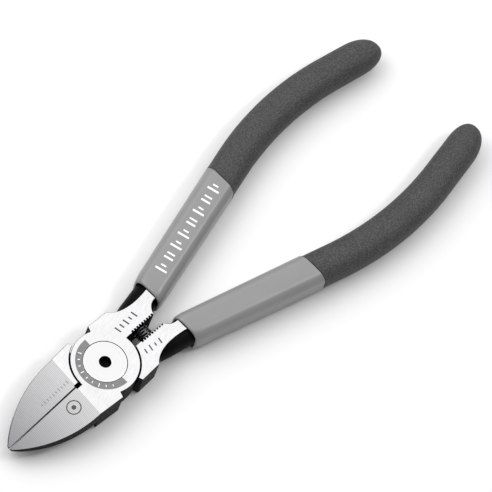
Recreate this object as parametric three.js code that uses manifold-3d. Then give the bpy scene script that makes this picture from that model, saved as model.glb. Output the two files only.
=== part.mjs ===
// Flush cutter: two forged halves lapped on one pivot pin, a coil return spring between the handles,
// and two-layer plastic handles. Millimetres, +Z up, +X towards the blade tips.
// The origin is on the pivot axis, in the plane of the head's underside.
// The front half carries the blade on +Y and the handle on -Y; the rear half is the other way round.
import * as THREE from 'three';
import { mergeVertices } from 'three/addons/utils/BufferGeometryUtils.js';
import Module from 'manifold-3d';

const wasm = await Module();
wasm.setup();

// Head
const headThickness = 8;
const rimRadius = 9.15; // the half-thickness disc of each half
const rimGap = 0.35; // round the disc, to the other half
const lapGap = 0.1; // between the two discs
const shoulderReach = 10.75; // from the pivot axis to the corners beside the discs
const discOverlap = 1.2; // how far the blades and tongues run into the disc's edge
const jawShoulderAngle = 70.4; // degrees from +X, where the blade's outside ends
const handleShoulderAngle = 110.5; // degrees from +X, where the handle's outside begins

// Blades
const bladeReach = 34.6; // pivot axis to the tips
const bladeBaseX = 11.4; // where the outside starts to curve in
const bladeBaseWidth = 9.6; // half width there
const bladeOutsideRadius = 34;
const noseWidth = 0.8; // half width at the tips
const noseLength = 0.27; // how far the blunt corner there is set back
const seamGap = 0.25;
const grindX = 10.75; // the flush faces slope down from here
const grindSkew = 4.4; // degrees the slope's upper edge is off square
const tipDrop = 4; // from the head's face to the top of the tips
const reliefX = 11.6; // the underside is cut away from here
const wallBottom = 1; // the outside wall's foot, below the lap plane
const edgeThickness = 0.35; // metal left at the cutting edges
const reliefSlope = 0.42; // fall of the underside for each mm away from the edge
const heelX = 9.2; // small clearance window at the blades' heel
const heelLength = 1.75;
const heelWidth = 1.1;

// Pivot pin
const pinHeadRadius = 5.8;
const pinHeadHeight = 2;
const pinShankRadius = 3.6;
const pinRunningGap = 0.06; // radial, where the front half turns
const pinPressGap = 0.04; // radial, where the pin is held in the rear half
const pinSideGap = 0.08; // under the pin's head
const pinHoleRadius = 1.63; // blind centre hole
const pinHoleDepth = 2.2;
const pinHoleFloorRadius = 1.1;

// Slot between the handles, with its serrations
const frontSlotFace = 1.15; // centre line to the front half's slot face
const rearSlotFace = 2.05;
const slotStartX = -1;
const slotEndX = -19.3;
const slotFlare = 1; // length of the curve that opens the slot at its end
const toothFirstX = -11.4;
const toothCount = 9;
const toothPitch = 0.9;
const toothWidth = 0.45;
const toothDepth = 0.45;

// Handle centre line, as seen from above
const handleStartX = -23.2; // front edge of the sleeves
const handleStartY = 6.93;
const handleAngle = 14.75; // degrees off the tool's centre line
const bendStartX = -68.5;
const bendRadius = 87;
const handleEndAngle = 10.6; // degrees, turning back in
const frontHandleEndX = -122.3;
const rearHandleEndX = -124.8;

// Tongue of the head that runs out along each handle
const shoulderEndX = -10.25;
const shoulderEndWidth = 9.75; // half width where the straight outside ends
const hollowLead = 2.1; // run of the outside's curve as it leaves the shoulder
const hollowDrop = 2.6; // and how far that run falls
const hollowTrail = 6; // run of the curve as it meets the tongue's end
const hollowWaist = 1.1; // and how much narrower it is there
const mouthGap = 0.25; // from the tongue's end to the sleeve
const tongueEndX = handleStartX + mouthGap;
const tongueInside = 4.1; // centre line to the tongue's inner edge at its end
const tongueOutside = 7.5;

// Sleeve and grip, half widths measured along Y
const layerGap = 0.12;
const sectionRatio = 0.97; // half height over half width of sleeve and grip
const sectionSquareness = 3; // 2 is an ellipse, more is squarer
const lipRound = 0.3; // broken edge at the mouths
const sleeveWidth = 4.78;
const sleeveEndWidth = 4.98; // where it meets the grip
const sleeveLipStep = 0.48; // how much narrower the mouth is
const sleeveLipLength = 3.2;
const sleeveWall = 0.93;
const sleeveNeckWall = 0.57; // where the grip covers it
const sleeveShort = 3.4; // from the grip's end to the sleeve's end
const gripStartX = -60.9;
const gripWall = 0.9;
const gripWidth = 5.06;
const gripTailWidth = 4.78;
const gripTailX = -114;
const gripRound = 7.5; // length of the rounded end

// Tang under them
const tangRootX = -10.6;
const tangRootWidth = 4.3;
const tangWaistX = -16;
const tangWaistWidth = 4.35;
const tangTopRatio = 0.88; // half height over half width
const tangShort = 11; // from the grip's end to the tang's end
const tangPointLength = 1;
const tangPointStep = 0.8;
const tangNeckWidth = sleeveWidth - sleeveWall;
const coverWall = gripWall + sleeveNeckWall + 2 * layerGap; // from the grip's outside to the tang
const tangMiddleWidth = gripWidth - coverWall;
const tangEndWidth = gripTailWidth - coverWall;

// Return spring
const springX = -15;
const springRadius = 1.9; // to the middle of the wire
const wireRadius = 0.3;
const springTurns = 15;
const pocketClearance = 0.3;
const pocketFloor = 6.3; // centre line to the pockets' floors
const springEndGap = 0.1;
const stepsPerTurn = 8;
const wireFacets = 5;

const top = headThickness / 2; // the lap plane is z = 0 until the tool is placed
const big = 60;
const fine = 48; // facets round the disc and pin
const roundFacets = 16; // facets round a handle
const curveFacets = 14; // facets along a curve of a plan
const bendSteps = 9; // stations along a handle's bend
const stationSpace = 1; // least distance from a station to the handle's end
const domeSteps = 6;
const hiddenDomeSteps = 4;
const weldDistance = 1e-4;

// Materials
function groundSteel() {
  return new THREE.MeshStandardMaterial({ color: 0xe9eaec, roughness: 0.35, metalness: 0.9 });
}

function pinSteel() {
  return new THREE.MeshStandardMaterial({ color: 0xf0f0f0, roughness: 0.3, metalness: 0.9 });
}

function springSteel() {
  return new THREE.MeshStandardMaterial({ color: 0x5b5e62, roughness: 0.35, metalness: 0.9 });
}

function greyPlastic() {
  return new THREE.MeshStandardMaterial({ color: 0xa3a3a3, roughness: 0.45, metalness: 0 });
}

function darkFoam() {
  return new THREE.MeshStandardMaterial({ color: 0x4c4c4c, roughness: 0.85, metalness: 0 });
}

// Solids
function toSolid(geometry) {
  const bare = geometry.clone();
  bare.deleteAttribute('normal');
  bare.deleteAttribute('uv');
  const merged = mergeVertices(bare, weldDistance);
  const corners = merged.index.array;
  const kept = [];
  for (let i = 0; i < corners.length; i += 3) {
    const [a, b, c] = corners.slice(i, i + 3);
    if (a !== b && b !== c && c !== a) kept.push(a, b, c);
  }
  return new wasm.Manifold(new wasm.Mesh({
    numProp: 3,
    vertProperties: new Float32Array(merged.attributes.position.array),
    triVerts: new Uint32Array(kept),
  }));
}

function toGeometry(solid) {
  const mesh = solid.getMesh();
  const geometry = new THREE.BufferGeometry();
  geometry.setAttribute('position', new THREE.BufferAttribute(new Float32Array(mesh.vertProperties), 3));
  geometry.setIndex(new THREE.BufferAttribute(new Uint32Array(mesh.triVerts), 1));
  geometry.computeVertexNormals();
  return geometry;
}

function plate(shape, low, high) {
  const settings = { depth: high - low, bevelEnabled: false, curveSegments: curveFacets };
  const geometry = new THREE.ExtrudeGeometry(shape, settings);
  geometry.translate(0, 0, low);
  return toSolid(geometry);
}

function block(x0, x1, y0, y1, z0, z1) {
  const geometry = new THREE.BoxGeometry(x1 - x0, y1 - y0, z1 - z0);
  geometry.translate((x0 + x1) / 2, (y0 + y1) / 2, (z0 + z1) / 2);
  return toSolid(geometry);
}

function drum(radius, low, high) {
  const geometry = new THREE.CylinderGeometry(radius, radius, high - low, fine);
  geometry.rotateX(Math.PI / 2);
  geometry.translate(0, 0, (low + high) / 2);
  return toSolid(geometry);
}

// A point at a distance from the pivot axis and an angle from +X, on the side given by sign
function polar(distance, degrees, sign) {
  const angle = THREE.MathUtils.degToRad(degrees);
  return new THREE.Vector2(distance * Math.cos(angle), sign * distance * Math.sin(angle));
}

// An arc of a given radius from the path's last point to another, bulging away from the centre line
function bulgeTo(shape, from, to, radius, sign) {
  const middle = from.clone().add(to).multiplyScalar(0.5);
  const along = to.clone().sub(from);
  const half = along.length() / 2;
  const inward = new THREE.Vector2(along.y, -along.x).normalize().multiplyScalar(-sign);
  const centre = middle.addScaledVector(inward, Math.sqrt(radius * radius - half * half));
  const startAngle = Math.atan2(from.y - centre.y, from.x - centre.x);
  const endAngle = Math.atan2(to.y - centre.y, to.x - centre.x);
  shape.absarc(centre.x, centre.y, radius, startAngle, endAngle, sign < 0);
}

// Plan of one blade, from the pivot out to the tip and back to its shoulder
function bladePlan(sign) {
  const nose = new THREE.Vector2(bladeReach - noseLength, sign * noseWidth);
  const base = new THREE.Vector2(bladeBaseX, sign * bladeBaseWidth);
  const corner = polar(shoulderReach, jawShoulderAngle, sign);
  const foot = polar(rimRadius - discOverlap, jawShoulderAngle, sign);
  const shape = new THREE.Shape();
  shape.moveTo(0, sign * seamGap / 2);
  shape.lineTo(bladeReach, sign * seamGap / 2);
  shape.lineTo(nose.x, nose.y);
  bulgeTo(shape, nose, base, bladeOutsideRadius, sign);
  shape.lineTo(corner.x, corner.y);
  shape.lineTo(foot.x, foot.y);
  shape.closePath();
  return shape;
}

// Plan of the head's handle end: slot face, tongue and the hollow outside
function tonguePlan(sign, slotFace) {
  const corner = polar(shoulderReach, handleShoulderAngle, sign);
  const foot = polar(rimRadius - discOverlap, handleShoulderAngle, sign);
  const shape = new THREE.Shape();
  shape.moveTo(foot.x, foot.y);
  shape.lineTo(corner.x, corner.y);
  shape.lineTo(shoulderEndX, sign * shoulderEndWidth);
  shape.bezierCurveTo(
    shoulderEndX - hollowLead, sign * (shoulderEndWidth - hollowDrop),
    tongueEndX + hollowTrail, sign * (tongueOutside - hollowWaist),
    tongueEndX, sign * tongueOutside,
  );
  shape.lineTo(tongueEndX, sign * tongueInside);
  shape.quadraticCurveTo(slotEndX - slotFlare, sign * tongueInside, slotEndX, sign * slotFace);
  shape.lineTo(slotStartX, sign * slotFace);
  shape.closePath();
  return shape;
}

// Centre line of a handle: straight, then one bend, then straight again; the distance from y = 0 at x
function handleCentre(x) {
  const start = THREE.MathUtils.degToRad(handleAngle);
  const end = THREE.MathUtils.degToRad(handleEndAngle);
  const bendStartY = handleStartY + (handleStartX - bendStartX) * Math.tan(start);
  const centreX = bendStartX - bendRadius * Math.sin(start);
  const centreY = bendStartY - bendRadius * Math.cos(start);
  const bendEndX = centreX - bendRadius * Math.sin(end);
  if (x > bendStartX) return handleStartY + (handleStartX - x) * Math.tan(start);
  if (x > bendEndX) return centreY + Math.sqrt(bendRadius ** 2 - (x - centreX) ** 2);
  return centreY + bendRadius * Math.cos(end) - (bendEndX - x) * Math.tan(end);
}

// Stations along a handle, close together only round the bend
function handleStations(from, to) {
  const list = [from];
  for (let i = 0; i <= bendSteps; i++) {
    const x = bendStartX + (i / bendSteps) * (gripTailX - bendStartX);
    if (x < from - stationSpace && x > to + stationSpace) list.push(x);
  }
  list.push(to);
  return list;
}

// A turned body laid along a handle: the profile's radius is the half width along Y at each x
function alongHandle(profile, sign, ratio, squareness) {
  const geometry = new THREE.LatheGeometry(profile.map(([x, r]) => new THREE.Vector2(r, -x)), roundFacets);
  const position = geometry.attributes.position;
  for (let i = 0; i < position.count; i++) {
    const x = -position.getY(i);
    const sideways = position.getX(i);
    const upward = position.getZ(i);
    const radius = Math.hypot(sideways, upward);
    const c = radius > 0 ? sideways / radius : 0;
    const s = radius > 0 ? upward / radius : 0;
    const swell = radius / (Math.abs(c) ** squareness + Math.abs(s) ** squareness || 1) ** (1 / squareness);
    position.setXYZ(i, x, sign * handleCentre(x) + swell * c, swell * s * ratio);
  }
  return toSolid(geometry);
}

// Value that runs evenly from one at fromX to another at toX, and stays level outside them
function evenly(x, fromX, toX, from, to) {
  const t = THREE.MathUtils.clamp((fromX - x) / (fromX - toX), 0, 1);
  return THREE.MathUtils.lerp(from, to, t);
}

// Half width of the covered part of the tang
function tangWidth(x, endX) {
  if (x > gripStartX) return evenly(x, handleStartX, gripStartX, tangNeckWidth, tangMiddleWidth);
  return evenly(x, gripStartX, endX, tangMiddleWidth, tangEndWidth);
}

// Half width of the grip's outside
function gripOutside(x) {
  return evenly(x, bendStartX, gripTailX, gripWidth, gripTailWidth);
}

// Stations of a domed end, as [x, share of the full width]
function dome(endX, length, steps) {
  const list = [];
  for (let i = 1; i < steps; i++) {
    const angle = (i / steps) * Math.PI / 2;
    list.push([endX + length * (1 - Math.sin(angle)), Math.cos(angle)]);
  }
  list.push([endX, 0]);
  return list;
}

// Steel tang of one handle, from inside the head to its end within the grip
function tang(sign, endX) {
  const tangEndX = endX + tangShort;
  const profile = [[tangRootX, 0], [tangRootX, tangRootWidth], [tangWaistX, tangWaistWidth]];
  profile.push([handleStartX, tangNeckWidth]);
  profile.push([gripStartX, tangMiddleWidth]);
  for (const x of handleStations(bendStartX, tangEndX + tangPointLength)) {
    profile.push([x, tangWidth(x, tangEndX)]);
  }
  profile.push([tangEndX, tangEndWidth - tangPointStep]);
  profile.push([tangEndX, 0]);
  return alongHandle(profile, sign, tangTopRatio, 2);
}

// One forging: sign is the blade's side, layer is +1 for a disc on top and -1 for a disc below
function forging(sign, layer, slotFace, endX, pinGap) {
  const reach = rimRadius + rimGap;
  const handleSide = -sign;
  let solid = plate(bladePlan(sign), -top, top);
  let handle = plate(tonguePlan(handleSide, slotFace), -top, top).add(tang(handleSide, endX));
  handle = handle.subtract(slotSpace(handleSide, slotFace));
  handle = handle.subtract(teeth(handleSide, slotFace));
  handle = handle.subtract(springPocket(handleSide));
  solid = solid.add(handle);
  solid = solid.subtract(layer > 0 ? drum(reach, -big, lapGap / 2) : drum(reach, -lapGap / 2, big));
  solid = solid.add(layer > 0 ? drum(rimRadius, lapGap / 2, top) : drum(rimRadius, -top, -lapGap / 2));
  solid = solid.subtract(pinSpace(pinGap, layer));
  solid = solid.subtract(block(heelX, heelX + heelLength, -heelWidth / 2, heelWidth / 2, -big, big));
  solid = solid.subtract(faceSlope());
  return solid.subtract(undersideRelief(sign));
}

// The open slot beside one handle
function slotSpace(side, slotFace) {
  const edge = side * slotFace;
  const far = -side * big;
  return block(slotEndX, slotStartX, Math.min(edge, far), Math.max(edge, far), -big, big);
}

// Square serrations along one slot face
function teeth(side, slotFace) {
  let solid = null;
  for (let i = 0; i < toothCount; i++) {
    const x = toothFirstX - i * toothPitch;
    const face = side * (slotFace - toothDepth);
    const root = side * (slotFace + toothDepth);
    const notch = block(x - toothWidth, x, Math.min(face, root), Math.max(face, root), -big, big);
    solid = solid ? solid.add(notch) : notch;
  }
  return solid;
}

// Blind pocket for one end of the spring
function springPocket(side) {
  const radius = springRadius + wireRadius + pocketClearance;
  const geometry = new THREE.CylinderGeometry(radius, radius, pocketFloor, fine / 2);
  geometry.translate(springX, side * pocketFloor / 2, 0);
  return toSolid(geometry);
}

// Stepped hole for the pin in one disc
function pinSpace(gap, layer) {
  const seat = top - pinHeadHeight - (layer > 0 ? pinSideGap : pinPressGap);
  const shank = drum(pinShankRadius + gap, -big, big);
  const head = layer > 0 ? drum(pinHeadRadius + gap, seat, big) : drum(pinHeadRadius + gap, -big, -seat);
  return shank.add(head);
}

// Everything above the sloping flush faces
function faceSlope() {
  const slope = Math.atan(tipDrop / (bladeReach - grindX));
  const geometry = new THREE.BoxGeometry(big, big, big / 2);
  geometry.translate(big / 2, 0, big / 4);
  geometry.rotateY(slope);
  geometry.rotateZ(-THREE.MathUtils.degToRad(grindSkew));
  geometry.translate(grindX, 0, top);
  return toSolid(geometry);
}

// Everything below the blade's wall foot and below the relief that runs up to its cutting edge
function undersideRelief(sign) {
  const fall = tipDrop / (bladeReach - grindX);
  const edgeHeight = top - edgeThickness - fall * (reliefX - grindX);
  const width = 2 * bladeBaseWidth;
  const shape = new THREE.Shape();
  shape.moveTo(-width, edgeHeight + reliefSlope * width);
  shape.lineTo(width, edgeHeight - reliefSlope * width);
  shape.lineTo(width, -big);
  shape.lineTo(-width, -big);
  shape.closePath();
  const geometry = new THREE.ExtrudeGeometry(shape, { depth: big, bevelEnabled: false });
  const position = geometry.attributes.position;
  for (let i = 0; i < position.count; i++) {
    const along = position.getZ(i);
    position.setXYZ(i, reliefX + along, sign * position.getX(i), position.getY(i) - fall * along);
  }
  if (sign < 0) flipFaces(geometry);
  const foot = block(reliefX, big, -width, width, -big, -wallBottom);
  return toSolid(geometry).add(foot);
}

// Turns every face over, after a mirrored placing
function flipFaces(geometry) {
  const position = geometry.attributes.position;
  for (let i = 0; i < position.count; i += 3) {
    const b = [position.getX(i + 1), position.getY(i + 1), position.getZ(i + 1)];
    position.setXYZ(i + 1, position.getX(i + 2), position.getY(i + 2), position.getZ(i + 2));
    position.setXYZ(i + 2, ...b);
  }
}

// Pin with a flush head at each end and a blind hole in the upper one
function pivotPin() {
  const shoulder = top - pinHeadHeight;
  const profile = [
    [0, -top],
    [pinHeadRadius, -top],
    [pinHeadRadius, -shoulder],
    [pinShankRadius, -shoulder],
    [pinShankRadius, shoulder],
    [pinHeadRadius, shoulder],
    [pinHeadRadius, top],
    [pinHoleRadius, top],
    [pinHoleRadius, top - pinHoleDepth],
    [pinHoleFloorRadius, top - pinHoleDepth],
    [0, top - pinHoleDepth - pinHoleFloorRadius / 2],
  ];
  const geometry = new THREE.LatheGeometry(profile.map(([r, z]) => new THREE.Vector2(r, z)), fine);
  geometry.rotateX(Math.PI / 2);
  return toSolid(geometry);
}

// Inner sleeve: a closed sock over the tang, necked down where the grip covers it
function sleeve(sign, endX) {
  const tangEndX = endX + tangShort;
  const outerEndX = endX + sleeveShort;
  const innerEndX = tangEndX - 2 * layerGap;
  const domeX = outerEndX + gripRound;
  const stepX = gripStartX + layerGap;
  const mouthWidth = sleeveWidth - sleeveLipStep;
  const neck = (x) => gripOutside(x) - gripWall - layerGap;
  const bore = (x) => tangWidth(x, tangEndX) + layerGap;
  const profile = [[handleStartX, mouthWidth - lipRound], [handleStartX - lipRound, mouthWidth]];
  profile.push([handleStartX - sleeveLipLength, sleeveWidth]);
  profile.push([stepX, sleeveEndWidth]);
  profile.push([stepX, neck(stepX)]);
  for (const x of handleStations(bendStartX, domeX)) profile.push([x, neck(x)]);
  for (const [x, share] of dome(outerEndX, gripRound, hiddenDomeSteps)) {
    profile.push([x, share * neck(domeX)]);
  }
  profile.push([innerEndX, 0]);
  profile.push([innerEndX, bore(innerEndX) - tangPointStep]);
  for (const x of handleStations(bendStartX, tangEndX + tangPointLength).reverse()) {
    profile.push([x, bore(x)]);
  }
  profile.push([gripStartX, bore(gripStartX)]);
  profile.push([handleStartX, bore(handleStartX)]);
  profile.push(profile[0]);
  return alongHandle(profile, sign, sectionRatio, sectionSquareness);
}

// Outer grip: a closed sock over the sleeve's neck
function grip(sign, endX) {
  const neckEndX = endX + sleeveShort - layerGap;
  const bore = (x) => gripOutside(x) - gripWall;
  const domeX = endX + gripRound;
  const boreDomeX = neckEndX + gripRound;
  const profile = [[gripStartX, gripWidth - lipRound]];
  profile.push([gripStartX - lipRound, gripWidth]);
  for (const x of handleStations(bendStartX, domeX)) profile.push([x, gripOutside(x)]);
  for (const [x, share] of dome(endX, gripRound, domeSteps)) profile.push([x, share * gripOutside(domeX)]);
  for (const [x, share] of dome(neckEndX, gripRound, hiddenDomeSteps).reverse()) {
    profile.push([x, share * bore(boreDomeX)]);
  }
  for (const x of handleStations(bendStartX, boreDomeX).reverse()) profile.push([x, bore(x)]);
  profile.push([gripStartX, bore(gripStartX)]);
  profile.push(profile[0]);
  return alongHandle(profile, sign, sectionRatio, sectionSquareness);
}

// Coil of the return spring, along Y between the pockets' floors
class CoilCurve extends THREE.Curve {
  getPoint(t, target = new THREE.Vector3()) {
    const reach = pocketFloor - springEndGap - wireRadius;
    const angle = 2 * Math.PI * springTurns * t;
    const y = THREE.MathUtils.lerp(-reach, reach, t);
    return target.set(springX + springRadius * Math.cos(angle), y, springRadius * Math.sin(angle));
  }
}

function returnSpring() {
  const section = new THREE.Shape();
  section.absarc(0, 0, wireRadius, 0, 2 * Math.PI, false);
  return new THREE.ExtrudeGeometry(section, {
    steps: springTurns * stepsPerTurn,
    curveSegments: wireFacets,
    bevelEnabled: false,
    extrudePath: new CoilCurve(),
  });
}

function part(name, geometry, material) {
  const mesh = new THREE.Mesh(geometry, material);
  mesh.name = name;
  return mesh;
}

const rearHalf = new THREE.Group();
const rearForging = forging(-1, -1, rearSlotFace, rearHandleEndX, pinPressGap);
rearHalf.add(part('rear_half', toGeometry(rearForging), groundSteel()));
rearHalf.add(part('rear_sleeve', toGeometry(sleeve(1, rearHandleEndX)), greyPlastic()));
rearHalf.add(part('rear_grip', toGeometry(grip(1, rearHandleEndX)), darkFoam()));
rearHalf.add(part('pivot_pin', toGeometry(pivotPin()), pinSteel()));
rearHalf.add(part('return_spring', returnSpring(), springSteel()));

const frontHalf = new THREE.Group();
const frontForging = forging(1, 1, frontSlotFace, frontHandleEndX, pinRunningGap);
frontHalf.add(part('front_half', toGeometry(frontForging), groundSteel()));
frontHalf.add(part('front_sleeve', toGeometry(sleeve(-1, frontHandleEndX)), greyPlastic()));
frontHalf.add(part('front_grip', toGeometry(grip(-1, frontHandleEndX)), darkFoam()));

const tool = new THREE.Group();
tool.position.z = top;
tool.add(rearHalf, frontHalf);
export default tool;
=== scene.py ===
import math
import bmesh
import bpy
import numpy as np
from mathutils import Matrix, Vector


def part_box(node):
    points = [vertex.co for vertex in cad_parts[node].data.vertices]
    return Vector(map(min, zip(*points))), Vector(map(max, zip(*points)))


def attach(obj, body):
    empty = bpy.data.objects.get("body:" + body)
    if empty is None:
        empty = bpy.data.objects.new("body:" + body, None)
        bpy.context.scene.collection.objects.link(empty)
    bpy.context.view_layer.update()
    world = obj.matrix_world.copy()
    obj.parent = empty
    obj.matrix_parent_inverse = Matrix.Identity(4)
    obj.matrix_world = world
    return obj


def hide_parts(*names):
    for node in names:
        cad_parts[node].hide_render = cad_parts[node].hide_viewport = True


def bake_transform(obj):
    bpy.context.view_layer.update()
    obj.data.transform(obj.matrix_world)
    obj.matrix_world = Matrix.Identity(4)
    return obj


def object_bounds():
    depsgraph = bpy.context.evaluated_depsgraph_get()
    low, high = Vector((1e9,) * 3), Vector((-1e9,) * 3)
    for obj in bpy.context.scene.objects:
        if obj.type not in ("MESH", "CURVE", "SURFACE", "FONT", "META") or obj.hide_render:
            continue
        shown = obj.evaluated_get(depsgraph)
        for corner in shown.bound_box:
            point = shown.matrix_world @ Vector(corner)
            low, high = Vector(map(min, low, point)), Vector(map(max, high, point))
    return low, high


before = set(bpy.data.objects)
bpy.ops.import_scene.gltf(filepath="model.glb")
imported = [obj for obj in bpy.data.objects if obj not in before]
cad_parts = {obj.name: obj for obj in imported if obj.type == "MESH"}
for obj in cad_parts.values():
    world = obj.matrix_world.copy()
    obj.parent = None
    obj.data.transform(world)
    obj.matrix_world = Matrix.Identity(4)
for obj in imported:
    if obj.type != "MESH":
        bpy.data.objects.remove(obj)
cadBox = [list(corner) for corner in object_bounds()]
mm = 0.001
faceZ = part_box("pivot_pin")[1].z  # the head's flat face
lapZ = faceZ / 2  # mid plane of the tool


def linearColour(hexText):
    # sRGB hex to linear: the standard curve, a straight toe below 0.04045 and a 2.4 power above it
    values = [int(hexText[i:i + 2], 16) / 255 for i in (0, 2, 4)]
    return [v / 12.92 if v <= 0.04045 else ((v + 0.055) / 1.055) ** 2.4 for v in values] + [1.0]


def addNode(tree, kind, settings=None, links=None):
    # one node, its settings by property or socket name, and what feeds its sockets
    node = tree.nodes.new(kind)
    for key, value in (settings or {}).items():
        if isinstance(key, str) and hasattr(node, key):
            setattr(node, key, value)
        else:
            node.inputs[key].default_value = value
    for socket, source in (links or {}).items():
        tree.links.new(source, node.inputs[socket])
    return node


def newMaterial(name):
    material = bpy.data.materials.new(name)
    material.use_nodes = True
    tree = material.node_tree
    tree.nodes.clear()
    output = addNode(tree, "ShaderNodeOutputMaterial")
    shader = addNode(tree, "ShaderNodeBsdfPrincipled")
    tree.links.new(shader.outputs["BSDF"], output.inputs["Surface"])
    place = addNode(tree, "ShaderNodeTexCoord").outputs["Object"]
    return material, tree, shader, place


def stretched(tree, place, scale, turn=0.0):
    # object coordinates turned about Z and scaled: cycles per metre along each axis
    turned = addNode(tree, "ShaderNodeMapping", {"Rotation": (0, 0, math.radians(turn))}, {"Vector": place})
    return addNode(tree, "ShaderNodeMapping", {"Scale": scale}, {"Vector": turned.outputs[0]}).outputs[0]


def ramp(tree, source, stops):
    node = addNode(tree, "ShaderNodeValToRGB", {}, {"Fac": source})
    elements = node.color_ramp.elements
    while len(elements) < len(stops):
        elements.new(0.5)
    for element, (position, colour) in zip(elements, stops):
        element.position = position
        element.color = linearColour(colour)
    return node.outputs["Color"]


def span(tree, source, low, high, toLow=0.0, toHigh=1.0):
    settings = {"From Min": low, "From Max": high, "To Min": toLow, "To Max": toHigh}
    return addNode(tree, "ShaderNodeMapRange", settings, {"Value": source}).outputs[0]


headSteelLook = dict(light="CDCDCE", dark="BEBEBF", lineWidth=0.2, lineLength=2.6, roughness=0.2)


def brushedHeadSteel():
    # chrome vanadium steel, surface ground then brushed along the tool: near white with short fine streaks
    look = headSteelLook
    material, tree, shader, place = newMaterial("brushedHeadSteel")
    lineScale = (1 / (look["lineLength"] * mm), 1 / (look["lineWidth"] * mm), 1 / mm)
    streaks = stretched(tree, place, lineScale, -18)
    grain = addNode(tree, "ShaderNodeTexNoise", {"Scale": 1.0, "Detail": 3.0, "Roughness": 0.6},
                    {"Vector": streaks})
    cloud = addNode(tree, "ShaderNodeTexNoise", {"Scale": 180.0, "Detail": 2.0}, {"Vector": place})
    mixed = addNode(tree, "ShaderNodeMath", {"operation": "MULTIPLY_ADD", 1: 0.35},
                    {0: cloud.outputs["Fac"], 2: grain.outputs["Fac"]})
    colour = ramp(tree, span(tree, mixed.outputs[0], 0.45, 0.85), [(0, look["dark"]), (1, look["light"])])
    rough = span(tree, grain.outputs["Fac"], 0.3, 0.7, look["roughness"] - 0.03, look["roughness"] + 0.04)
    bump = addNode(tree, "ShaderNodeBump", {"Strength": 0.18, "Distance": 0.02 * mm},
                   {"Height": grain.outputs["Fac"]})
    shader.inputs["Metallic"].default_value = 1.0
    tree.links.new(colour, shader.inputs["Base Color"])
    tree.links.new(rough, shader.inputs["Roughness"])
    tree.links.new(bump.outputs[0], shader.inputs["Normal"])
    return material


bladeSteelLook = dict(
    start=10.5, end=34.5,  # mm along the tool, heel to tip
    # painted reflection: the blade's base tone, stepped darker from heel to tip
    paintedReflectionShades=[(0, "B5B5B6"), (0.35, "A5A5A6"), (0.75, "8E8E90"), (1, "808083")],
    pitch=0.42, skew=4.4, roughness=0.16,
)


def groundBladeSteel():
    # hardened blade steel, ground across with a coarse wheel: even cross lines; the tone is painted
    # reflection, darker than the head and greyer towards the tips
    look = bladeSteelLook
    material, tree, shader, place = newMaterial("groundBladeSteel")
    turned = addNode(tree, "ShaderNodeMapping", {"Rotation": (0, 0, math.radians(look["skew"]))},
                     {"Vector": place})
    alongX = addNode(tree, "ShaderNodeSeparateXYZ", {}, {"Vector": turned.outputs[0]}).outputs["X"]
    # painted reflection: the base tone ramps darker from the heel to the tips
    shade = ramp(tree, span(tree, alongX, look["start"] * mm, look["end"] * mm), look["paintedReflectionShades"])
    turns = addNode(tree, "ShaderNodeMath", {"operation": "MULTIPLY", 1: 2 * math.pi / (look["pitch"] * mm)},
                    {0: alongX})
    lines = addNode(tree, "ShaderNodeMath", {"operation": "SINE"}, {0: turns.outputs[0]}).outputs[0]
    scratch = stretched(tree, place, (1 / (0.12 * mm), 1 / (4 * mm), 1 / mm), look["skew"])
    grain = addNode(tree, "ShaderNodeTexNoise", {"Scale": 1.0, "Detail": 3.0},
                    {"Vector": scratch}).outputs["Fac"]
    height = addNode(tree, "ShaderNodeMath", {"operation": "MULTIPLY_ADD", 1: 0.55},
                     {0: lines, 2: grain}).outputs[0]
    lineTone = ramp(tree, span(tree, height, -0.1, 1.1), [(0, "E4E4E4"), (1, "FFFFFF")])
    tone = addNode(tree, "ShaderNodeMix", {"data_type": "RGBA", "blend_type": "MULTIPLY", "Factor": 1.0},
                   {"A": shade, "B": lineTone})
    bump = addNode(tree, "ShaderNodeBump", {"Strength": 0.06, "Distance": 0.03 * mm}, {"Height": height})
    shader.inputs["Metallic"].default_value = 1.0
    tree.links.new(tone.outputs["Result"], shader.inputs["Base Color"])
    tree.links.new(span(tree, grain, 0.3, 0.7, look["roughness"] - 0.02, look["roughness"] + 0.04),
                   shader.inputs["Roughness"])
    tree.links.new(bump.outputs[0], shader.inputs["Normal"])
    return material


blackLook = dict(deep="040404", worn="0F0F10", roughness=0.45, specular=0.05)


def blackenedForging():
    # drop-forged steel under black oxide and lacquer: deep black, a soft sheen and a slightly pitted skin
    look = blackLook
    material, tree, shader, place = newMaterial("blackenedForging")
    shader.inputs["Specular IOR Level"].default_value = look["specular"]
    skin = addNode(tree, "ShaderNodeTexNoise", {"Scale": 900.0, "Detail": 4.0, "Roughness": 0.6},
                   {"Vector": place})
    patch = addNode(tree, "ShaderNodeTexNoise", {"Scale": 140.0, "Detail": 2.0}, {"Vector": place})
    colour = ramp(tree, span(tree, patch.outputs["Fac"], 0.35, 0.75), [(0, look["deep"]), (1, look["worn"])])
    rough = span(tree, skin.outputs["Fac"], 0.3, 0.7, look["roughness"] - 0.08, look["roughness"] + 0.12)
    tree.links.new(colour, shader.inputs["Base Color"])
    tree.links.new(rough, shader.inputs["Roughness"])
    bump = addNode(tree, "ShaderNodeBump", {"Strength": 0.25, "Distance": 0.06 * mm},
                   {"Height": skin.outputs["Fac"]})
    tree.links.new(bump.outputs[0], shader.inputs["Normal"])
    return material


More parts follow.
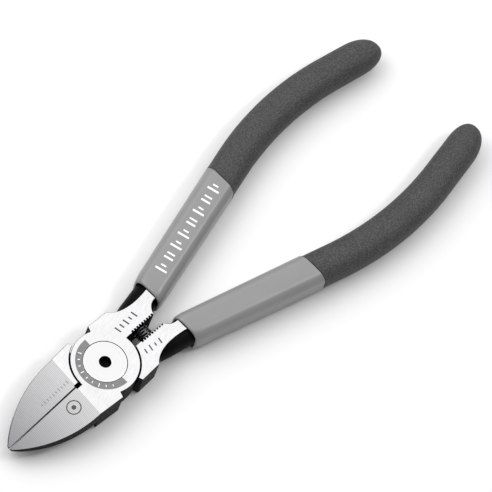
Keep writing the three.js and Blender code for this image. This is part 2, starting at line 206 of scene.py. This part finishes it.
def turnedPinSteel():
    # pin faced off with the head: the same white steel with faint rings about its axis
    material, tree, shader, place = newMaterial("turnedPinSteel")
    parts = addNode(tree, "ShaderNodeSeparateXYZ", {}, {"Vector": place})
    flat = addNode(tree, "ShaderNodeCombineXYZ", {}, {"X": parts.outputs["X"], "Y": parts.outputs["Y"]})
    radius = addNode(tree, "ShaderNodeVectorMath", {"operation": "LENGTH"},
                     {0: flat.outputs[0]}).outputs["Value"]
    rings = addNode(tree, "ShaderNodeMath", {"operation": "MULTIPLY", 1: 1 / (0.14 * mm)},
                    {0: radius}).outputs[0]
    grain = addNode(tree, "ShaderNodeTexNoise", {"noise_dimensions": "1D", "Scale": 1.0, "Detail": 2.0},
                    {"W": rings}).outputs["Fac"]
    tree.links.new(ramp(tree, grain, [(0.3, "C2C2C3"), (0.7, "CCCCCD")]), shader.inputs["Base Color"])
    bump = addNode(tree, "ShaderNodeBump", {"Strength": 0.12, "Distance": 0.02 * mm}, {"Height": grain})
    shader.inputs["Metallic"].default_value = 1.0
    shader.inputs["Roughness"].default_value = 0.23
    tree.links.new(bump.outputs[0], shader.inputs["Normal"])
    return material


def drawnSpringWire():
    # music wire, drawn and blued: dark grey with a bright line along each turn
    material, tree, shader, place = newMaterial("drawnSpringWire")
    grain = addNode(tree, "ShaderNodeTexNoise", {"Scale": 1500.0, "Detail": 2.0},
                    {"Vector": place}).outputs["Fac"]
    tree.links.new(ramp(tree, grain, [(0.3, "4A4B4E"), (0.7, "6C6D70")]), shader.inputs["Base Color"])
    shader.inputs["Metallic"].default_value = 1.0
    shader.inputs["Roughness"].default_value = 0.3
    return material


sleeveLook = dict(low="808081", high="848485", roughness=0.3)


def satinSleevePvc():
    # first dip, plasticised PVC: even mid grey, a satin skin, soft highlights and the faintest flow mottle
    look = sleeveLook
    material, tree, shader, place = newMaterial("satinSleevePvc")
    mottle = addNode(tree, "ShaderNodeTexNoise", {"Scale": 160.0, "Detail": 3.0}, {"Vector": place})
    skin = addNode(tree, "ShaderNodeTexNoise", {"Scale": 2200.0, "Detail": 2.0}, {"Vector": place})
    colour = ramp(tree, mottle.outputs["Fac"], [(0.3, look["low"]), (0.7, look["high"])])
    tree.links.new(colour, shader.inputs["Base Color"])
    shader.inputs["Roughness"].default_value = look["roughness"]
    bump = addNode(tree, "ShaderNodeBump", {"Strength": 0.1, "Distance": 0.01 * mm},
                   {"Height": skin.outputs["Fac"]})
    tree.links.new(bump.outputs[0], shader.inputs["Normal"])
    return material


gripLook = dict(low="2A2A2B", middle="3A3A3B", high="4E4E4F", pit=0.42, grit=0.3, roughness=0.66)


def foamedGripPvc():
    # second dip, foamed PVC: dark and dry, covered in small pits and bumps under half a millimetre across,
    # with painted shade in the pits
    look = gripLook
    material, tree, shader, place = newMaterial("foamedGripPvc")
    cells = addNode(tree, "ShaderNodeTexVoronoi", {"Scale": 1 / (look["pit"] * mm)}, {"Vector": place})
    grit = addNode(tree, "ShaderNodeTexNoise", {"Scale": 1 / (look["grit"] * mm), "Detail": 2.0},
                   {"Vector": place})
    cloud = addNode(tree, "ShaderNodeTexNoise", {"Scale": 130.0, "Detail": 2.0}, {"Vector": place})
    cellHeight = span(tree, cells.outputs["Distance"], 0.0, 0.7, 1.0, 0.0)
    height = addNode(tree, "ShaderNodeMath", {"operation": "MULTIPLY_ADD", 1: 0.7},
                     {0: cellHeight, 2: grit.outputs["Fac"]}).outputs[0]
    # painted shade in the pits and painted light on the bump tops: the colour follows the bump height, with a
    # random cloud over it
    tone = addNode(tree, "ShaderNodeMath", {"operation": "MULTIPLY_ADD", 1: 0.25},
                   {0: cloud.outputs["Fac"], 2: height}).outputs[0]
    colour = ramp(tree, span(tree, tone, 0.6, 1.25),
                  [(0, look["low"]), (0.5, look["middle"]), (1, look["high"])])
    tree.links.new(colour, shader.inputs["Base Color"])
    shader.inputs["Roughness"].default_value = look["roughness"]
    bump = addNode(tree, "ShaderNodeBump", {"Strength": 0.6, "Distance": 0.1 * mm}, {"Height": height})
    tree.links.new(bump.outputs[0], shader.inputs["Normal"])
    return material


def printInk(name, shade, roughness):
    # pad-printed or etched mark: a flat tone with slightly uneven cover
    material, tree, shader, place = newMaterial(name)
    cover = addNode(tree, "ShaderNodeTexNoise", {"Scale": 1800.0, "Detail": 2.0}, {"Vector": place})
    pale = "".join(f"{min(255, int(shade[i:i + 2], 16) + 10):02X}" for i in (0, 2, 4))
    colour = ramp(tree, cover.outputs["Fac"], [(0.35, shade), (0.65, pale)])
    tree.links.new(colour, shader.inputs["Base Color"])
    shader.inputs["Roughness"].default_value = roughness
    return material


materials = {
    "head": brushedHeadSteel(), "blade": groundBladeSteel(), "black": blackenedForging(),
    "pin": turnedPinSteel(), "wire": drawnSpringWire(), "sleeve": satinSleevePvc(), "grip": foamedGripPvc(),
    "bandInk": printInk("greyBandInk", "6E6E6E", 0.5), "markInk": printInk("etchedMark", "303031", 0.5),
    "fineInk": printInk("fineEtching", "5A5A5B", 0.5), "whiteInk": printInk("whitePadPrint", "F0F0F0", 0.5),
}
print("materials made", len(materials))


def finishPiece(name, mesh, mats, body, replaced=(), smoothAngle=40):
    # shading split at edges sharper than smoothAngle, then the piece is hung on its body and the parts it
    # replaces are hidden
    shape = bmesh.new()
    shape.from_mesh(mesh)
    limit = math.radians(smoothAngle)
    for face in shape.faces:
        face.smooth = True
    for edge in shape.edges:
        edge.smooth = len(edge.link_faces) == 2 and edge.calc_face_angle(0) < limit
    shape.to_mesh(mesh)
    shape.free()
    piece = bpy.data.objects.new(name, mesh)
    bpy.context.scene.collection.objects.link(piece)
    for material in mats:
        if material.name not in [m.name for m in mesh.materials if m]:
            mesh.materials.append(material)
    if body:
        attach(piece, body)
    if replaced:
        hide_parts(*replaced)
    return piece


def gridMesh(name, points, closeAcross=True, closeAlong=False):
    # quads over a rows by columns array of points; columns join up when closeAcross, rows when closeAlong;
    # rows that shrink to a point are welded afterwards
    rows, columns = points.shape[:2]
    index = np.arange(rows * columns).reshape(rows, columns)
    nextColumn = np.roll(index, -1, 1) if closeAcross else index[:, 1:]
    here = index if closeAcross else index[:, :-1]
    if closeAlong:
        a, b, c, d = here, nextColumn, np.roll(nextColumn, -1, 0), np.roll(here, -1, 0)
    else:
        a, b, c, d = here[:-1], nextColumn[:-1], nextColumn[1:], here[1:]
    quads = np.stack([a, b, c, d], -1).reshape(-1, 4)
    mesh = bpy.data.meshes.new(name)
    mesh.from_pydata(points.reshape(-1, 3).tolist(), [], quads.tolist())
    shape = bmesh.new()
    shape.from_mesh(mesh)
    bmesh.ops.remove_doubles(shape, verts=shape.verts, dist=1e-7)
    bmesh.ops.dissolve_degenerate(shape, edges=shape.edges, dist=1e-8)
    bmesh.ops.recalc_face_normals(shape, faces=shape.faces)
    shape.to_mesh(mesh)
    shape.free()
    return mesh


def roundedProfile(corners, radius, steps=4):
    # a polyline whose inner corners are replaced by quadratic curves that start and end radius away from them
    points = [np.array(corners[0], float)]
    for before, corner, after in zip(corners[:-2], corners[1:-1], corners[2:]):
        before, corner, after = (np.array(p, float) for p in (before, corner, after))
        back, ahead = before - corner, after - corner
        reach = min(radius, 0.45 * np.linalg.norm(back), 0.45 * np.linalg.norm(ahead))
        start = corner + back / np.linalg.norm(back) * reach
        end = corner + ahead / np.linalg.norm(ahead) * reach
        for t in np.linspace(0, 1, steps + 1):
            points.append((1 - t) ** 2 * start + 2 * t * (1 - t) * corner + t ** 2 * end)
    points.append(np.array(corners[-1], float))
    return np.array(points)


forgingLook = dict(bevel=0.1, segments=2, flat=0.996)


def forgedHalf(node, body):
    # a welded copy of the CAD solid with its flat facets joined, ground faces and black sides told apart by
    # the way each face looks, and every sharp edge broken by a small bevel
    look = forgingLook
    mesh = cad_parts[node].data.copy()
    mesh.materials.clear()
    for key in ("black", "head", "blade"):
        mesh.materials.append(materials[key])
    shape = bmesh.new()
    shape.from_mesh(mesh)
    bmesh.ops.remove_doubles(shape, verts=shape.verts, dist=2e-7)
    bmesh.ops.dissolve_limit(shape, angle_limit=math.radians(0.4), verts=shape.verts, edges=shape.edges)
    for face in shape.faces:
        middle = face.calc_center_median()
        up = face.normal.z
        onFace = up > look["flat"] and middle.z > faceZ - 0.05 * mm
        underFace = up < -look["flat"] and middle.z < 0.05 * mm
        onBlade = middle.x > 10 * mm and abs(up) > 0.8 and not onFace and not underFace
        face.material_index = 1 if onFace or underFace else 2 if onBlade else 0
    shape.to_mesh(mesh)
    shape.free()
    piece = finishPiece(node + "_forging", mesh, [], body, [node], 32)
    bevel = piece.modifiers.new("brokenEdges", "BEVEL")
    bevel.width = look["bevel"] * mm
    bevel.segments = look["segments"]
    bevel.material = 0  # the broken edges take the black material: a thin dark line round each ground face
    bevel.limit_method = "ANGLE"
    bevel.angle_limit = math.radians(40)
    bevel.use_clamp_overlap = False
    bevel.harden_normals = True
    bevel.miter_outer = "MITER_ARC"
    return piece


forgedHalf("rear_half", "rear")
forgedHalf("front_half", "front")
print("forged halves made")


pinLook = dict(edge=0.12, neck=0.62, holeRadius=1.63, holeDepth=2.2, floorRadius=1.1, columns=128)


def pivotPin():
    # profile of radius against height, carried round the pivot axis
    look = pinLook
    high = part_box("pivot_pin")[1]
    head = high.x / mm
    top = high.z / mm
    neck = look["neck"] * head
    shoulder = top / 4
    holeFloor = top - look["holeDepth"]
    corners = [
        (0, 0), (head, 0), (head, shoulder), (neck, shoulder), (neck, top - shoulder), (head, top - shoulder),
        (head, top), (look["holeRadius"], top), (look["holeRadius"], holeFloor),
        (look["floorRadius"], holeFloor), (0, holeFloor - 0.5 * look["floorRadius"]),
    ]
    profile = roundedProfile(corners, look["edge"]) * mm
    turn = np.linspace(0, 2 * np.pi, look["columns"], endpoint=False)
    radius = profile[:, :1]
    points = np.stack([radius * np.cos(turn), radius * np.sin(turn), profile[:, 1:] + 0 * turn], -1)
    mesh = gridMesh("pivot_pin_turned", points)
    mesh.materials.append(materials["pin"])
    mesh.materials.append(materials["black"])
    for face in mesh.polygons:
        middle = face.center
        inHole = math.hypot(middle.x, middle.y) < look["holeRadius"] * mm and middle.z > lapZ
        face.material_index = 1 if inHole and middle.z < (top - look["edge"]) * mm else 0
    finishPiece("pivot_pin_turned", mesh, [], "rear", ["pivot_pin"], 50)


pivotPin()
print("pin made")


handleLine = dict(startX=-23.2, startY=6.93, angle=14.75, bendX=-68.5, bendRadius=87, endAngle=10.6)


def handleCentre(x):
    # distance from the centre line at x: straight at one angle, a circular bend, straight at another
    line = handleLine
    start, end = math.radians(line["angle"]), math.radians(line["endAngle"])
    bendY = line["startY"] + (line["startX"] - line["bendX"]) * math.tan(start)
    centreX = line["bendX"] - line["bendRadius"] * math.sin(start)
    centreY = bendY - line["bendRadius"] * math.cos(start)
    bendEndX = centreX - line["bendRadius"] * math.sin(end)
    first = line["startY"] + (line["startX"] - x) * math.tan(start)
    bend = centreY + np.sqrt(np.maximum(line["bendRadius"] ** 2 - (x - centreX) ** 2, 0))
    last = centreY + line["bendRadius"] * math.cos(end) - (bendEndX - x) * math.tan(end)
    return np.where(x > line["bendX"], first, np.where(x > bendEndX, bend, last))


handleLook = dict(columns=96, ratio=0.97, step=0.9)


def sectionPoints(side, x, halfWidth, turn, chamfer, crispness):
    # a soft-edged octagon across the handle at x: the four flats and four chamfers are summed at a high power,
    # so the higher the power the crisper the edges; chamfer is where |y| + |z| is cut off, 2 leaves a square
    c, s = np.cos(turn), np.sin(turn)
    powers = np.abs(c) ** crispness + np.abs(s) ** crispness
    powers = powers + (np.abs(c + s) / chamfer) ** crispness + (np.abs(c - s) / chamfer) ** crispness
    swell = halfWidth / powers ** (1 / crispness)
    y = side * handleCentre(x) + swell * c
    z = lapZ / mm + swell * s * handleLook["ratio"]
    return np.stack([x + 0 * swell, y, z], -1) * mm


def handleSock(name, side, outer, inner, material, body, node, shape):
    # outer and inner profiles of half width against x, joined at the mouth and closed at the far end
    profile = np.concatenate([outer, inner[::-1], outer[:1]])
    x, halfWidth = profile[:, :1], profile[:, 1:]
    turn = np.linspace(0, 2 * np.pi, handleLook["columns"], endpoint=False)
    points = sectionPoints(side, x, halfWidth, turn, shape["chamfer"], shape["crispness"])
    mesh = gridMesh(name, points)
    return finishPiece(name, mesh, [material], body, [node], 55)


def domed(endX, width, length, steps=14, fullness=1.0):
    # a rounded end: width follows a quarter turn as x runs over the last length; under 1 the end is blunter
    angle = np.linspace(0, np.pi / 2, steps + 1)[1:]
    halfWidth = width * np.maximum(np.cos(angle), 0) ** fullness
    return np.stack([endX + length * (1 - np.sin(angle)), halfWidth], -1)


gripShape = dict(
    startX=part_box("rear_grip")[1].x / mm, bendX=-68.5, tailX=-114, width=5.06, tailWidth=4.78, dome=7.5,
    wall=0.9, chamfer=1.5, crispness=7,
)
sleeveShape = dict(
    start=-26.4, lip=4.05, lipLength=3.2, width=4.78, endWidth=4.98, short=3.4, gap=0.12,
    chamfer=1.62, crispness=14,
)


def gripWidth(x):
    # widest at the bend's start, then narrowing evenly to the tail
    shape = gripShape
    t = np.clip((shape["bendX"] - x) / (shape["bendX"] - shape["tailX"]), 0, 1)
    return shape["width"] + (shape["tailWidth"] - shape["width"]) * t


def gripSock(side, body, node):
    shape = gripShape
    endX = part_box(node)[0].x / mm
    startX, dome = shape["startX"], shape["dome"]
    x = np.arange(startX - 1.2, endX + dome, -handleLook["step"])
    lip = np.stack([startX - np.array([0.0, 0.02, 0.08, 0.2, 0.36, 0.6, 1.0]),
                    gripWidth(startX) + np.array([-0.5, -0.22, -0.06, 0.05, 0.1, 0.1, 0.04])], -1)
    middle = np.stack([x, gripWidth(x)], -1)
    outer = np.concatenate([lip, middle, domed(endX, gripWidth(endX + dome), dome, 18, 0.86)])
    innerEnd = endX + sleeveShape["short"] - sleeveShape["gap"]
    xi = np.array([startX, startX - 3.0, shape["bendX"], -90.0, innerEnd + dome])
    inner = np.concatenate([np.stack([xi, gripWidth(xi) - shape["wall"]], -1),
                            domed(innerEnd, gripWidth(innerEnd + dome) - shape["wall"], dome, 6)])
    handleSock(node + "_foam", side, outer, inner, materials["grip"], body, node, shape)


def sleeveSock(side, body, node):
    shape, grip = sleeveShape, gripShape
    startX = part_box(node)[1].x / mm
    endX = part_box(node)[0].x / mm
    lipEnd = startX - shape["lipLength"]
    angle = np.linspace(0, np.pi / 2, 9)
    lip = np.stack([startX - shape["lipLength"] * (1 - np.cos(angle)),
                    shape["lip"] + (shape["width"] - shape["lip"]) * np.sin(angle) ** 0.7], -1)
    x = np.linspace(lipEnd - 0.5, grip["startX"] + shape["gap"], 40)
    t = (lipEnd - x) / (lipEnd - grip["startX"])
    front = np.stack([x, shape["width"] + (shape["endWidth"] - shape["width"]) * t], -1)
    neckStart = grip["startX"] + shape["gap"] - 0.01
    neckX = np.array([neckStart, -65.0, grip["bendX"], -80.0, -95.0, endX + grip["dome"]])
    neck = np.stack([neckX, gripWidth(neckX) - grip["wall"] - shape["gap"]], -1)
    outer = np.concatenate([lip, front, neck, domed(endX, neck[-1, 1], grip["dome"], 6)])
    boreX = np.array([startX, -45.0, grip["bendX"], -80.0, -95.0, endX + 8.0, endX + 7.2, endX + 7.2])
    bore = np.array([3.93, 3.6, 3.4, 3.3, 3.1, 2.9, 2.1, 0.0])
    inner = np.stack([boreX, bore], -1)
    handleSock(node + "_dip", side, outer, inner, materials["sleeve"], body, node, shape)


for side, body in ((1, "rear"), (-1, "front")):
    sleeveSock(side, body, body + "_sleeve")
    gripSock(side, body, body + "_grip")
print("handles made")


springShape = dict(radius=1.9, wire=0.3, turns=15, flatTurns=1.0, stepsPerTurn=28, columns=12)


def returnSpring():
    # a helix about Y: the angle grows evenly, and y grows evenly but for a closed turn at each end
    shape = springShape
    low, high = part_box("return_spring")
    middleX, middleZ = (low.x + high.x) / 2, (low.z + high.z) / 2
    reach = (high.y - low.y) / 2 - shape["wire"] * mm
    middleY = (low.y + high.y) / 2
    steps = int(shape["turns"] * shape["stepsPerTurn"])
    turn = np.linspace(0, 2 * np.pi * shape["turns"], steps + 1)
    closed = 2 * np.pi * shape["flatTurns"]
    total = turn[-1]
    rise = np.clip((turn - closed) / (total - 2 * closed), 0, 1)
    endRise = 2.05 * shape["wire"] * mm
    ends = np.clip(turn / closed, 0, 1) + np.clip((turn - total + closed) / closed, 0, 1)
    y = middleY - reach + ends * endRise + rise * (2 * reach - 2 * endRise)
    radius = shape["radius"] * mm
    centre = np.stack([middleX + radius * np.cos(turn), y, middleZ + radius * np.sin(turn)], -1)
    outward = np.stack([np.cos(turn), 0 * turn, np.sin(turn)], -1)
    tangent = np.gradient(centre, axis=0)
    tangent /= np.linalg.norm(tangent, axis=1, keepdims=True)
    across = np.cross(tangent, outward)
    around = np.linspace(0, 2 * np.pi, shape["columns"], endpoint=False)
    wire = shape["wire"] * mm * np.concatenate([[0.0, 0.8], np.ones(steps - 1), [0.8, 0.0]])
    take = np.clip(np.arange(-1, steps + 2), 0, steps)
    ring = np.cos(around)[None, :, None] * outward[take][:, None]
    ring = ring + np.sin(around)[None, :, None] * across[take][:, None]
    rows = centre[take][:, None] + wire[:, None, None] * ring
    mesh = gridMesh("return_spring_coil", rows)
    piece = finishPiece("return_spring_coil", mesh, [materials["wire"]], None,
                        ["return_spring"], 60)
    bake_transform(piece)


returnSpring()
print("spring made")


markLook = dict(lift=0.012, thick=0.02)
markPlaces = dict(  # mm on the plan; rows run from the first point to the second
    frontTongue=((-9.0, -4.2), (-15.4, -4.5)), rearTongue=((-10.2, 4.9), (-15.2, 5.2)),
    rearBlade=((11.6, -2.5), (20.4, -2.5)), ring=(15.1, 3.55), sleeve=((-29.6, -8.7), (-56.4, -15.7)),
)


def slabs(name, outlines, zOf, material, body):
    # thin closed slabs: each outline, in mm on the plan, becomes a bottom, a top and a rim that follow zOf
    vertices, faces = [], []
    for outline in outlines:
        outline = np.array(outline, float)
        count = len(outline)
        base = len(vertices)
        z = zOf(outline[:, 0], outline[:, 1])
        for level in (-markLook["thick"], markLook["lift"]):
            vertices += [(px * mm, py * mm, (pz + level) * mm) for (px, py), pz in zip(outline, z)]
        for i in range(count):
            j = (i + 1) % count
            faces.append((base + i, base + j, base + count + j, base + count + i))
        top = base + count
        for i in range(count // 2 - 1):
            j = count - 1 - i
            faces.append((top + i, top + i + 1, top + j - 1, top + j))
            faces.append((base + i, base + j, base + j - 1, base + i + 1))
    mesh = bpy.data.meshes.new(name)
    mesh.from_pydata(vertices, [], faces)
    shape = bmesh.new()
    shape.from_mesh(mesh)
    bmesh.ops.recalc_face_normals(shape, faces=shape.faces)
    shape.to_mesh(mesh)
    shape.free()
    return finishPiece(name, mesh, [material], body)


def stroke(x, y, length, width, angle):
    # a straight bar centred on x, y, as a four-point outline
    a = math.radians(angle)
    along = np.array([math.cos(a), math.sin(a)]) * length / 2
    across = np.array([-math.sin(a), math.cos(a)]) * width / 2
    centre = np.array([x, y])
    return [centre - along - across, centre + along - across, centre + along + across, centre - along + across]


def sector(inner, outer, startAngle, endAngle, steps, centre=(0, 0)):
    # part of a ring between two angles in degrees
    a = np.radians(np.linspace(startAngle, endAngle, steps))
    ring = np.stack([np.cos(a), np.sin(a)], -1)
    return np.concatenate([ring * outer, (ring * inner)[::-1]]) + np.array(centre)


def onHead(x, y):
    return 0 * x + faceZ / mm


bandLook = dict(
    inner=5.98, outer=7.85, start=-94, end=92,  # mm and degrees
    ticks=9, firstTick=-62, tickStep=15.5, tickRadius=6.9,
)
slabs("scale_band", [sector(bandLook["inner"], bandLook["outer"], bandLook["start"], bandLook["end"], 60)],
      onHead, materials["bandInk"], "front")


def onBand(x, y):
    return onHead(x, y) + markLook["lift"]


def bandTicks():
    # evenly spaced radial ticks with every third one longer, like a plain scale
    look = bandLook
    radius = look["tickRadius"]
    ticks = []
    for i in range(look["ticks"]):
        angle = look["firstTick"] + i * look["tickStep"]
        length = 1.0 if i % 3 == 0 else 0.6
        a = math.radians(angle)
        ticks.append(stroke(radius * math.cos(a), radius * math.sin(a), length, 0.2, angle))
    return ticks


slabs("scale_ticks", bandTicks(), onBand, materials["whiteInk"], "front")


def strokeRow(start, end, lengths, width, lean):
    # bars spread evenly from start to end, each standing across that line and leaning by lean degrees
    start, end = np.array(start, float), np.array(end, float)
    angle = math.degrees(math.atan2(end[1] - start[1], end[0] - start[0])) + 90 + lean
    places = np.linspace(0, 1, len(lengths))
    return [stroke(*(start + (end - start) * t), length, width, angle) for t, length in zip(places, lengths)]


slopeLook = dict(startX=10.75, endX=34.6, drop=4.0)


def onSlope(x, y):
    # height of the sloping flush face: it drops evenly from the skewed grind line to the tips
    skew = math.radians(bladeSteelLook["skew"])
    along = (x - slopeLook["startX"]) * math.cos(skew) - y * math.sin(skew)
    return faceZ / mm - np.maximum(along, 0) * slopeLook["drop"] / (slopeLook["endX"] - slopeLook["startX"])


tongueBars = [2.0, 1.5, 2.0, 1.1, 2.0]
slabs("front_tongue_marks", strokeRow(*markPlaces["frontTongue"], tongueBars, 0.42, 8), onHead,
      materials["markInk"], "front")
slabs("rear_tongue_marks", strokeRow(*markPlaces["rearTongue"], [1.4, 1.8, 1.0, 1.7], 0.38, -8), onHead,
      materials["markInk"], "rear")
bladeBars = [1.1, 0.7, 0.7, 1.0, 0.7, 1.1, 0.7, 0.7, 1.0, 0.7]
slabs("rear_blade_marks", strokeRow(*markPlaces["rearBlade"], bladeBars, 0.17, 4), onSlope,
      materials["fineInk"], "rear")


def ringMark():
    # an etched ring with a plain dot in it; the ring is two half turns a hair apart, each a simple outline
    centre = markPlaces["ring"]
    halves = [sector(1.68, 1.98, a + 0.2, a + 179.8, 25, centre) for a in (0, 180)]
    a = np.linspace(0, 2 * np.pi, 24, endpoint=False)
    dot = 0.62 * np.stack([np.cos(a), np.sin(a)], -1) + np.array(centre)
    return halves + [dot]


slabs("ring_mark", ringMark(), onSlope, materials["markInk"], "front")


def sleeveMarks():
    # white bars along the top flat of the front sleeve: pairs of a long bar and a short one
    start, end = (np.array(p, float) for p in markPlaces["sleeve"])
    shift = 0.36 * (end - start) / 7
    longBars = strokeRow(start, end, [3.3, 2.6, 3.3, 3.3, 2.6, 3.3, 2.6, 3.3], 0.55, 0)
    shortBars = strokeRow(start + shift, end + shift, [1.5, 2.2, 1.5, 1.5, 2.2, 1.5, 2.2, 1.5], 0.45, 0)
    return longBars + shortBars


def onSleeve(x, y):
    # top flat of the sleeve: its height follows the sleeve's half width
    start, end = sleeveShape["start"], gripShape["startX"]
    t = np.clip((start - x) / (start - end), 0, 1)
    width = sleeveShape["width"] + (sleeveShape["endWidth"] - sleeveShape["width"]) * t
    return lapZ / mm + width * handleLook["ratio"]


slabs("sleeve_marks", sleeveMarks(), onSleeve, materials["whiteInk"], "front")
print("marks made")


stageLook = dict(floor="E6E6E6", size=6.0, worldStrength=0.3)
cameraLook = dict(
    target=(-53.65, 0.25, 4.0), azimuth=24.03, elevation=61.92, roll=22.42,  # mm and degrees
    distance=2483.0, lens=700.0,  # far off with a long lens, for a nearly parallel view
)


def floorSheet():
    # one large flat square just under the lowest point of the tool
    half = stageLook["size"] / 2
    z = cadBox[0][2] - 0.00005
    mesh = bpy.data.meshes.new("floor")
    corners = [(-half, -half, z), (half, -half, z), (half, half, z), (-half, half, z)]
    mesh.from_pydata(corners, [], [(0, 1, 2, 3)])
    floor = bpy.data.objects.new("floor", mesh)
    bpy.context.scene.collection.objects.link(floor)
    material, tree, shader, place = newMaterial("paleFloor")  # matt paper sweep, plain and pale
    shader.inputs["Base Color"].default_value = linearColour(stageLook["floor"])
    shader.inputs["Roughness"].default_value = 0.9
    shader.inputs["Specular IOR Level"].default_value = 0.2
    mesh.materials.append(material)


def softLight(name, toward, distance, size, watts):
    # a square soft box facing the head, in the direction given
    light = bpy.data.lights.new(name, "AREA")
    light.size = size
    light.energy = watts
    lamp = bpy.data.objects.new(name, light)
    bpy.context.scene.collection.objects.link(lamp)
    aim = Vector(toward).normalized()
    lamp.location = Vector((-0.05, 0, 0)) + aim * distance
    lamp.rotation_euler = aim.to_track_quat("Z", "Y").to_euler()


def placeCamera():
    look = cameraLook
    azimuth, elevation, roll = (math.radians(look[k]) for k in ("azimuth", "elevation", "roll"))
    back = Vector((math.cos(azimuth), math.sin(azimuth), math.tan(elevation))).normalized()
    level = Vector((0, 0, 1)).cross(back).normalized()
    right = level * math.cos(roll) + back.cross(level) * math.sin(roll)
    turned = Matrix((right, back.cross(right), back)).transposed().to_4x4()
    data = bpy.data.cameras.new("camera")
    data.lens = look["lens"]
    data.sensor_width = 36.0
    data.clip_end = 20.0
    camera = bpy.data.objects.new("camera", data)
    bpy.context.scene.collection.objects.link(camera)
    camera.matrix_world = Matrix.Translation((Vector(look["target"]) + back * look["distance"]) * mm) @ turned
    bpy.context.scene.camera = camera


def studio():
    world = bpy.data.worlds.new("studio")
    bpy.context.scene.world = world
    world.use_nodes = True
    background = world.node_tree.nodes["Background"]
    background.inputs["Color"].default_value = (1, 1, 1, 1)
    background.inputs["Strength"].default_value = stageLook["worldStrength"]
    softLight("overheadBox", (-0.32, -0.24, 0.92), 0.7, 1.3, 7.1)
    softLight("keyBox", (0.36, -0.56, 0.75), 0.7, 0.55, 2.3)
    softLight("ridgeBox", (-0.43, 0.36, 0.83), 0.7, 0.1, 0.75)
    bpy.context.scene.view_settings.view_transform = "Standard"


floorSheet()
studio()
placeCamera()
print("stage made")
